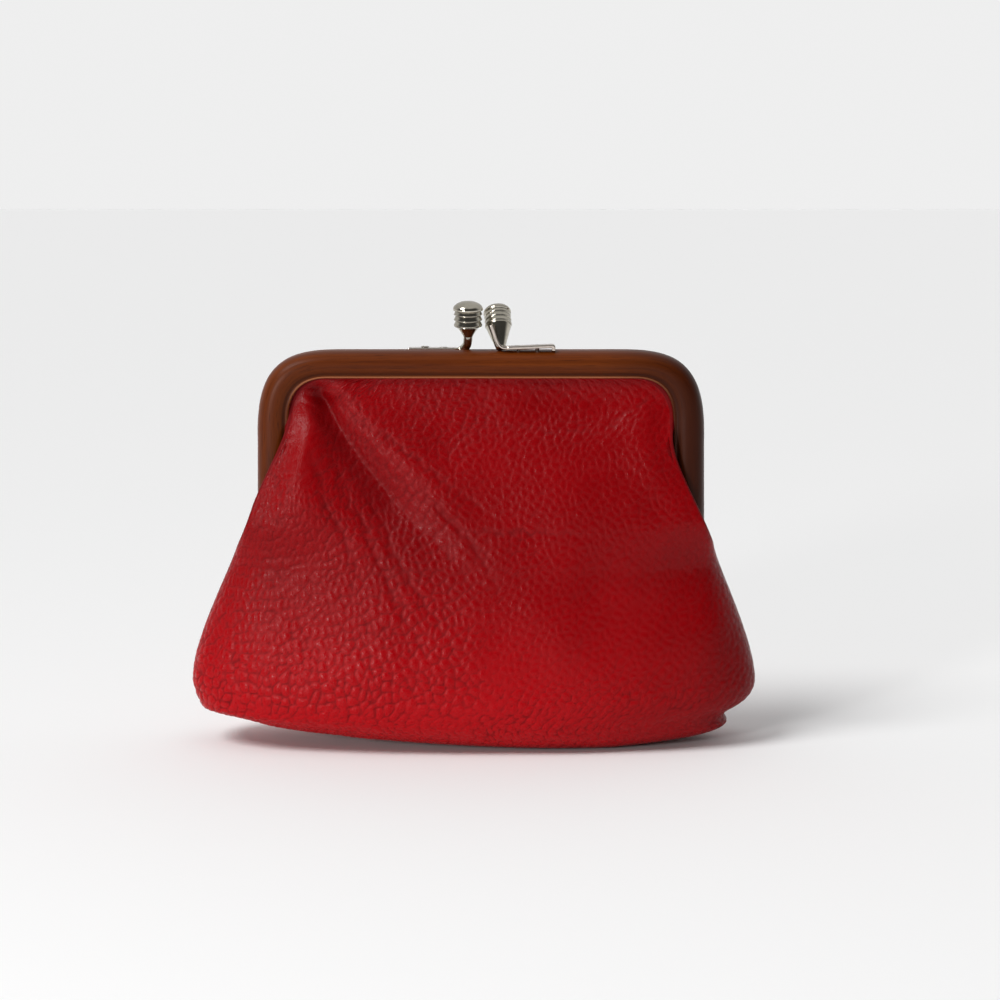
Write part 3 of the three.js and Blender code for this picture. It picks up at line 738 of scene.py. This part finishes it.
def leather_panel(side, side_name):
    columns = int(LEATHER_WIDTH / LEATHER_SPACING) // LEATHER_STRIDE * LEATHER_STRIDE + 1
    smooth = panel_grid(LEATHER_SPACING, columns, leather_edges)
    rows = (smooth.shape[0] - 1) // LEATHER_STRIDE * LEATHER_STRIDE + 1
    smooth = smooth[np.linspace(0, smooth.shape[0] - 1, rows).round().astype(int)]
    across, down = run_lengths(smooth)
    form, detail, marks = leather_relief(smooth[..., 0], smooth[..., 2], across, down, side)
    place = smooth * np.array([1, side, 1])
    normal = grid_normals(place) * side
    edge = np.minimum(np.arange(columns), np.arange(columns)[::-1])
    hold = smoothstep(TUCK_COLUMNS, TUCK_COLUMNS + 14 / LEATHER_SPACING, edge)[None, :]
    flat_base = smoothstep(0.4, 7.0, smooth[..., 2])
    form = form * hold * flat_base
    grained = smoothstep(TUCK_COLUMNS - 1, TUCK_COLUMNS + 4, edge)[None, :]
    detail = detail * grained * (0.25 + 0.75 * flat_base)
    body = place + normal * form[..., None]
    outer = body + normal * detail[..., None]
    # Painted shade along the edges tucked into the frame and the seams, which also turn rough.
    marks["pebble"][:, edge < TUCK_COLUMNS + 3] = 0.05
    inner = (body - normal * LEATHER_THICKNESS)[::LEATHER_STRIDE, ::LEATHER_STRIDE]
    inner[..., 2] = np.maximum(inner[..., 2], LEATHER_THICKNESS)
    inner[..., 1] = side * np.maximum(side * inner[..., 1], 0.2)
    outer[..., 1] = side * np.maximum(side * outer[..., 1], 0.12)
    outer[..., 2] = np.maximum(outer[..., 2], 0.0)
    piece = thick_panel(f"{side_name}_leather", outer, inner, LEATHER_STRIDE, LEATHER, side)
    for name, values in marks.items():
        store(piece.data, name, "FLOAT", np.concatenate([values.ravel(), np.ones(inner.size // 3)]))
    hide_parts(f"{side_name}_leather_upper", f"{side_name}_leather_lower")
    bend_with_frame(piece)
    return piece


def lining_inset(z):
    """How far the lining stands inside the leather: more where the pouch folds as the purse opens."""
    return LINING_INSET + 1.6 * smoothstep(36, 46, z) * smoothstep(78, 64, z)


def lining_panel(side, side_name):
    columns = int(LINING_WIDTH / LINING_SPACING)
    points = panel_grid(LINING_SPACING, columns, lining_edges, lining_inset)
    across, down = run_lengths(points)
    ripple = 0.35 * value_noise(across / 14 + 7, down / 11, 51 + side) * smoothstep(98, 90, points[..., 2])
    place = points * np.array([1, side, 1])
    valley = np.minimum(folds(points[..., 0] * -side, points[..., 2])[0], 0)
    edge = np.minimum(np.arange(columns), np.arange(columns)[::-1])
    hold = smoothstep(TUCK_COLUMNS, TUCK_COLUMNS + 5, edge)[None, :]
    normal = grid_normals(place) * side
    outer = place + normal * ((ripple - 0.3 + valley) * hold)[..., None]
    outer[..., 1] = side * np.maximum(side * outer[..., 1], 0.45)
    inner = outer - normal * LINING_THICKNESS
    inner[..., 1] = side * np.maximum(side * inner[..., 1], 0.15)
    piece = thick_panel(f"{side_name}_lining", outer, inner, 1, LINING, side)
    flat = np.stack([across, down, np.zeros_like(across)], axis=-1).reshape(-1, 3) * MM
    store(piece.data, "cloth", "FLOAT_VECTOR", np.vstack([flat, flat]))
    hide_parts(f"{side_name}_lining_upper", f"{side_name}_lining_lower")
    bend_with_frame(piece)
    return piece


# ---------------------------------------------------------------- wooden frame

FRAME_HALF = 60.0
FRAME_TOP = 106.0
ARM_END = 56.5
BAR_WIDTH = 8
LEAF_SEAT = 1.25
SEAT_CLEARANCE = 0.3


def frame_outline(foot, shoulder, top, corner, steps):
    """The right half of the frame's outer or inner outline, from its foot to the middle of the top."""
    arm = np.linspace((foot, ARM_END), (shoulder, corner["below"]), steps, endpoint=False)
    bend = bezier(
        (shoulder, corner["below"]), (shoulder + corner["swell"], corner["reach"]),
        (corner["across"] + corner["pull"], top), (corner["across"], top), 3 * steps,
    )[:-1]
    bar = np.linspace((corner["across"], top), (0, top), 2 * steps)
    return np.vstack([arm, bend, bar])


OUTER = {"below": 82.0, "swell": 0.4, "reach": 102.0, "across": 38.0, "pull": 15.0}
INNER = {"below": 88.0, "swell": 0.0, "reach": 95.5, "across": 41.0, "pull": 6.0}


def bar_section():
    """The bar's section as (share from outer to inner edge, depth): a broad face, a cove and a thin lip."""
    face = [
        *bezier((0, 1.2), (0, 4.0), (0.13, 6.3), (0.4, 6.75), 16),
        *bezier((0.4, 6.75), (0.53, 6.95), (0.63, 6.85), (0.72, 6.5), 8)[1:],
        *bezier((0.72, 6.5), (0.8, 6.2), (0.86, 5.75), (0.9, 5.75), 6)[1:],
        *bezier((0.9, 5.75), (0.94, 6.0), (1.0, 5.9), (1.0, 5.4), 7)[1:],
    ]
    back = [
        (1.0, 4.9), (0.97, 4.9), (0.55, 4.9), (0.55, 2.3), (0.97, 2.3), (1.0, 2.3),
        (1.0, 0.3), (0.96, 0.012), (0.5, 0.012), (0.06, 0.012), (0.0, 0.3),
    ]
    return np.array(face + back)


def wooden_half(side, side_name):
    steps = 12
    outer = frame_outline(FRAME_HALF, 59.7, FRAME_TOP, OUTER, steps)
    inner = frame_outline(51.6, 51.1, FRAME_TOP - 7.2, INNER, steps)
    outer, inner = (np.vstack([o, o[-2::-1] * np.array([-1, 1])]) for o in (outer, inner))
    section = bar_section()
    share = section[:, 0][None, :, None]
    flat = outer[:, None] * (1 - share) + inner[:, None] * share
    depth = np.broadcast_to(section[:, 1], flat.shape[:2])
    points = np.stack([flat[..., 0], side * depth, flat[..., 1]], axis=-1)
    count = len(section)
    faces = grid_faces(len(outer), count, wrap=True, flip=side == BACK)
    start, end = list(range(count)), [(len(outer) - 1) * count + i for i in range(count)]
    faces.append(start[::-1] if side == FRONT else start)
    faces.append(end if side == FRONT else end[::-1])
    piece = mesh_object(f"{side_name}_wooden_frame", points.reshape(-1, 3), faces, WOOD)
    along = np.cumsum(np.linalg.norm(np.diff(outer, axis=0, prepend=outer[:1]), axis=-1))
    around, deep = (np.tile(values, len(outer)) for values in (section[:, 0] * BAR_WIDTH, section[:, 1]))
    grain = np.stack([np.repeat(along, count), around, deep], axis=-1)
    store(piece.data, "grain", "FLOAT_VECTOR", grain * MM)
    # Painted highlight along the lip, strongest on the top bar and fading out down the arms, and painted
    # shade in the cove beside it
    across, out = section.T
    lip = np.exp(-(((across - 0.955) / 0.03) ** 2)) * (out > 5)
    cove = np.exp(-(((across - 0.84) / 0.07) ** 2)) * (out > 5)
    lip_highlight_reach = smoothstep(90.0, 98.5, inner[:, 1])[:, None]
    store(piece.data, "lip_highlight_cove_shade", "FLOAT", 0.5 + 0.5 * lip * lip_highlight_reach - 0.5 * cove * (1 - lip))
    cut_hinge_seats(piece, side_name)
    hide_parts(f"{side_name}_frame")
    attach(piece, f"{side_name}_half")
    return piece


def cut_hinge_seats(piece, side_name):
    """Cuts the shallow seats in the meeting face that the hinge leaves lie in."""
    for hand in ("left", "right"):
        low, high = (np.array(corner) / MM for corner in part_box(f"{side_name}_hinge_leaf_{hand}"))
        seat_low = np.array([low[0] - SEAT_CLEARANCE, -LEAF_SEAT, ARM_END - 2])
        seat_high = np.array([high[0] + SEAT_CLEARANCE, LEAF_SEAT, high[2] + SEAT_CLEARANCE])
        cut_box(piece, (seat_low + seat_high) / 2, seat_high - seat_low)


def cut_box(piece, middle, size):
    """Cuts a box, given by its middle and its size in millimetres, out of a piece."""
    bpy.ops.mesh.primitive_cube_add(size=1, location=np.array(middle) * MM, scale=np.array(size) * MM)
    cutter = bpy.context.object
    cut = piece.modifiers.new("cut", "BOOLEAN")
    cut.operation = "DIFFERENCE"
    cut.object = cutter
    cut.solver = "EXACT"
    with bpy.context.temp_override(object=piece, active_object=piece, selected_objects=[piece]):
        bpy.ops.object.modifier_apply(modifier=cut.name)
    bpy.data.objects.remove(cutter)


# ---------------------------------------------------------------- clasp

STRAP = {"start": 6.8, "end": 19.2, "width": 3.8, "thickness": 0.95}
STEM_RADIUS = 1.2
CLASP_DEPTH = 3.0
SEAT = FRAME_TOP + 0.75
REAR_SUNK = 0.85
BALLS = {
    "front": {"radius": 3.7, "at": (4.5, 2.0, 114.2), "towards": (-0.08, 0.574, 0.82),
              "neck": 9.3, "cone": 1.0, "lean": 0.06},
    "rear": {"radius": 4.0, "at": (-3.4, -1.8, 115.1), "towards": (0.0, -0.14, 0.99),
             "neck": 5.6, "cone": 0.55, "lean": 0.17},
}
BAND_EDGE = 0.16


def ball_profile(radius, neck, cone, lean):
    """A domed cap over a drum of three ring bands, then a cone down to the stem, in ball radii."""
    drum_low, drum_high, hull = -0.67, 0.41, 0.965
    foot = STEM_RADIUS / radius
    points = [(0, -neck / radius)]
    for share in np.linspace(0, 1, 18):
        height = -neck / radius + share * (neck / radius + drum_low)
        bowl = 1 - math.sqrt(1 - share**2) * (1 - 0.12 * share)
        spread = cone * share + (1 - cone) * bowl
        points.append((foot + (hull - 0.04 - foot) * spread, height))
    # Each band leans in towards its top, so it mirrors the dim room and its lower edge the bright floor
    tops = np.linspace(drum_low, drum_high, 4)
    for low, high in zip(tops[:-1], tops[1:]):
        for share in np.linspace(0, 1, 11):
            edge = 1 - math.sqrt(max(1 - share / BAND_EDGE, 0))
            points.append((hull + 0.02 - lean * (1 - edge + share), low + (high - low) * share))
    for angle in np.linspace(-0.1, math.pi / 2, 22)[:-1]:
        points.append((math.cos(angle), drum_high + 0.06 + (1 - drum_high - 0.06) * math.sin(angle)))
    points.append((0, 1))
    return np.array(points) * radius


def clasp_piece(piece, node, body):
    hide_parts(node)
    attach(piece, body)


def round_to_flat(flatness, count=24):
    """Sections that change from a round rod to a flat strip, one for each flatness from 0 to 1."""
    ring = np.linspace(0, 2 * math.pi, count, endpoint=False)
    cos, sin = np.cos(ring), np.sin(ring)
    sections = []
    for f in flatness:
        wide = STEM_RADIUS * (1 - f) + STRAP["width"] / 2 * f
        thin = STEM_RADIUS * (1 - f) + STRAP["thickness"] / 2 * f
        power = 1 - 0.45 * f
        sections.append(np.stack(
            [wide * np.sign(cos) * np.abs(cos) ** power, thin * np.sign(sin) * np.abs(sin) ** power], axis=-1
        ))
    return np.array(sections)


def clasp_half(side, side_name):
    ball = BALLS[side_name]
    centre = np.array(ball["at"])
    axis = np.array(ball["towards"])
    profile = ball_profile(ball["radius"], ball["neck"], ball["cone"], ball["lean"])
    knob = lathe(f"{side_name}_ball", profile, NICKEL, centre, axis)
    clasp_piece(knob, f"{side_name}_clasp_ball", f"{side_name}_clasp")

    hand = -side
    seat = SEAT if side == FRONT else SEAT - REAR_SUNK
    foot = np.array([hand * STRAP["start"], side * CLASP_DEPTH, seat])
    if side == FRONT:
        # The strap turns up and its end runs beside the cone to the ball
        top = np.array([2.7, -3.9, 112.9])
        bend = bezier(foot, foot - np.array([2.6, 0, 0.1]), top + np.array([1.4, 0.5, -3.4]), top, 40)
        share = np.linspace(0, 1, len(bend))[:, None, None]
        flat = np.array(rounded_box_section(1.0, STRAP["thickness"], 0.28))[None]
        width = STRAP["width"] + (2.0 - STRAP["width"]) * share
        scale = np.concatenate([width, np.ones_like(width)], axis=-1)
        stem = sweep("front_stem", bend, flat * scale, BRIGHT_NICKEL)
    else:
        neck = centre - axis * (ball["neck"] - 0.5)
        bend = bezier(foot, (centre[0] - 0.2, side * CLASP_DEPTH, seat - 0.1), neck - axis * 2.6, neck, 40)
        flatness = smoothstep(0.45, 0.02, np.linspace(0, 1, len(bend)))
        stem = sweep("rear_stem", bend, round_to_flat(flatness), NICKEL)
    clasp_piece(stem, f"{side_name}_clasp_stem", f"{side_name}_clasp")

    start = foot - np.array([hand * 0.1, 0, 0])
    end = np.array([hand * (STRAP["end"] - 0.6), side * CLASP_DEPTH, seat + (0.5 if side == FRONT else 0)])
    level = np.linspace(start, end, 16)
    corner = bezier(end, end + np.array([hand * 0.75, 0, 0.03]), end + np.array([hand * 0.75, 0, 0]),
                    end + np.array([hand * 0.75, 0, -0.75]), 8)[1:]
    prong = np.linspace(corner[-1], corner[-1] - np.array([0, 0, 0.45]), 4)[1:]
    strip = sweep(
        f"{side_name}_strap", np.vstack([level, corner, prong]),
        rounded_box_section(STRAP["width"], STRAP["thickness"], 0.28), BRIGHT_NICKEL,
    )
    clasp_piece(strip, f"{side_name}_clasp_strap", f"{side_name}_half")


# ---------------------------------------------------------------- hinges, screws, cords and threads


def screw_mesh():
    """A slotted countersunk screw on the Z axis, its head at the origin."""
    profile = [
        (0, -4.1), (0.12, -4.0), (0.32, -3.5), (0.5, -3.2), (0.5, -0.72), (0.62, -0.62),
        (1.02, -0.14), (1.08, -0.08), (1.08, -0.02), (1.0, 0.03), (0.5, 0.08), (0, 0.09),
    ]
    blank = lathe("screw_blank", profile, STEEL, sides=40)
    cut_box(blank, (0, 0, 0.3), (3, 0.34, 1.1))
    mesh = blank.data
    bpy.data.objects.remove(blank)
    mesh.materials.clear()
    mesh.materials.append(STEEL)
    return mesh


def screws():
    pattern = screw_mesh()
    for index, name in enumerate(sorted(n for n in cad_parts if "_screw_" in n)):
        low, high = (np.array(corner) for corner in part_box(name))
        side = "front" if name.startswith("front") else "rear"
        middle = (low + high) / 2
        if "clasp" in name:
            sunk = REAR_SUNK * MM if side == "rear" else 0
            head, axis = Vector((middle[0], middle[1], high[2] - sunk)), Vector((0, 0, 1))
        elif side == "front":
            head, axis = Vector((middle[0], high[1], middle[2])), Vector((0, 1, 0))
        else:
            head, axis = Vector((middle[0], low[1], middle[2])), Vector((0, -1, 0))
        turn = Vector((0, 0, 1)).rotation_difference(axis).to_matrix().to_4x4()
        mesh = pattern.copy()
        spin = Matrix.Rotation(index * 2.4, 4, "Z")
        mesh.transform(Matrix.Translation(head) @ turn @ spin)
        piece = bpy.data.objects.new(name.replace("_screw_", "_slotted_screw_"), mesh)
        bpy.context.scene.collection.objects.link(piece)
        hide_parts(name)
        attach(piece, f"{side}_half")


THREAD_RADIUS = 0.35
THREAD_INSET = 2.3


def finish_node(name, material, bevel=0.0):
    """Gives a CAD node that is already the right shape its material and softened edges."""
    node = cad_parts[name]
    node.data.materials.clear()
    node.data.materials.append(material)
    if bevel:
        soft = node.modifiers.new("edges", "BEVEL")
        soft.width = bevel * MM
        soft.segments = 2
        soft.limit_method = "ANGLE"
        soft.angle_limit = math.radians(40)


def thread(name, line, node):
    ring = np.linspace(0, 2 * math.pi, 12, endpoint=False)
    section = THREAD_RADIUS * np.stack([np.cos(ring), np.sin(ring)], axis=-1)
    piece = sweep(name, line, section, THREAD)
    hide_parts(node)
    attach(piece, "pouch")


def seam_threads():
    x = np.linspace(-58, 58, 60)
    base = np.stack([x, 0 * x, keel_rise(x) + 2.0], axis=-1)
    thread("bottom_seam_stitches", base, "bottom_seam_thread")
    height, left, right, _ = levels(2.0)
    keep = (height > 9) & (height < 47)
    for hand, reach, name in ((-1, left, "left"), (1, right, "right")):
        x, z = hand * (reach[keep] - THREAD_INSET), height[keep] + 0.4
        z = z + keel_rise(x) * (1 - smoothstep(0, KEEL_HEIGHT, z))
        thread(f"{name}_seam_thread", np.stack([x, 0 * x, z], axis=-1), f"side_seam_thread_{name}")


def small_metal():
    for side_name in ("front", "rear"):
        for hand in ("left", "right"):
            finish_node(f"{side_name}_hinge_leaf_{hand}", HINGE_NICKEL, 0.12)
        finish_node(f"{side_name}_paper_cord", PAPER)
    for hand in ("left", "right"):
        finish_node(f"hinge_pin_{hand}", STEEL)


# ---------------------------------------------------------------- studio

VIEW_WIDTH = 269.03
VIEW_ELEVATION = math.radians(8)
LENS = 90.0
SENSOR = 36.0


def camera():
    data = bpy.data.cameras.new("camera")
    data.lens = LENS
    data.sensor_width = SENSOR
    data.clip_start = 0.01
    obj = bpy.data.objects.new("camera", data)
    bpy.context.scene.collection.objects.link(obj)
    distance = VIEW_WIDTH * LENS / SENSOR
    aim = Vector((5.1, 0, 65.5))
    back = Vector((0, -math.cos(VIEW_ELEVATION), math.sin(VIEW_ELEVATION)))
    obj.location = (aim + back * distance) * MM
    obj.rotation_euler = (-back).to_track_quat("-Z", "Y").to_euler()
    bpy.context.scene.camera = obj


def area_light(name, place, target, size, power):
    data = bpy.data.lights.new(name, "AREA")
    data.shape = "DISK"
    data.size = size
    data.energy = power
    obj = bpy.data.objects.new(name, data)
    bpy.context.scene.collection.objects.link(obj)
    obj.location = place
    obj.rotation_euler = (Vector(target) - Vector(place)).to_track_quat("-Z", "Y").to_euler()


HORIZON, ROOM, DIM = 0.86, 0.6, 0.07


def studio():
    bpy.ops.mesh.primitive_plane_add(size=12, location=(0, 0, -0.0001))
    floor = bpy.context.object
    floor.name = "floor"
    s = Shader(bpy.data.materials.new("studio_floor"))
    s.shade(Base_Color=(0.91, 0.91, 0.91, 1), Roughness=0.9, Specular_IOR_Level=0.0)
    floor.data.materials.append(s.owner)

    world = bpy.data.worlds.new("studio")
    bpy.context.scene.world = world
    s = Shader(world, "Background")
    split = s.split(s.node("ShaderNodeTexCoord").outputs["Generated"])

    def soft(axis, start, end):
        return s.fade(split[axis], start, end, interpolation_type="SMOOTHSTEP")

    # A bright horizon all round, a softer room above it, and a dim part in front between horizon and ceiling
    room = s.mix(soft("Z", 0.05, 0.2), (HORIZON,) * 3, (ROOM,) * 3)
    in_front = s.maths("MULTIPLY", soft("Y", 0.25, -0.35), soft("Z", 0.03, 0.12))
    dim = s.maths("MULTIPLY", in_front, soft("Z", 0.93, 0.7))
    s.shade(Color=s.mix(dim, room, (DIM,) * 3), Strength=1.0)

    data = bpy.data.lights.new("key", "SUN")
    data.energy = 1.95
    data.angle = math.radians(28)
    key = bpy.data.objects.new("key", data)
    bpy.context.scene.collection.objects.link(key)
    towards = Vector((-0.60, -0.42, 0.88))
    key.rotation_euler = towards.to_track_quat("Z", "Y").to_euler()
    area_light("window", (-0.46, -0.72, 0.22), (0, 0, 0.05), 0.13, 2.4)
    bpy.context.scene.view_settings.view_transform = "Standard"


# ---------------------------------------------------------------- assembly

camera()
studio()
for side, side_name in SIDES:
    leather_panel(side, side_name)
    lining_panel(side, side_name)
    wooden_half(side, side_name)
    clasp_half(side, side_name)
small_metal()
screws()
seam_threads()
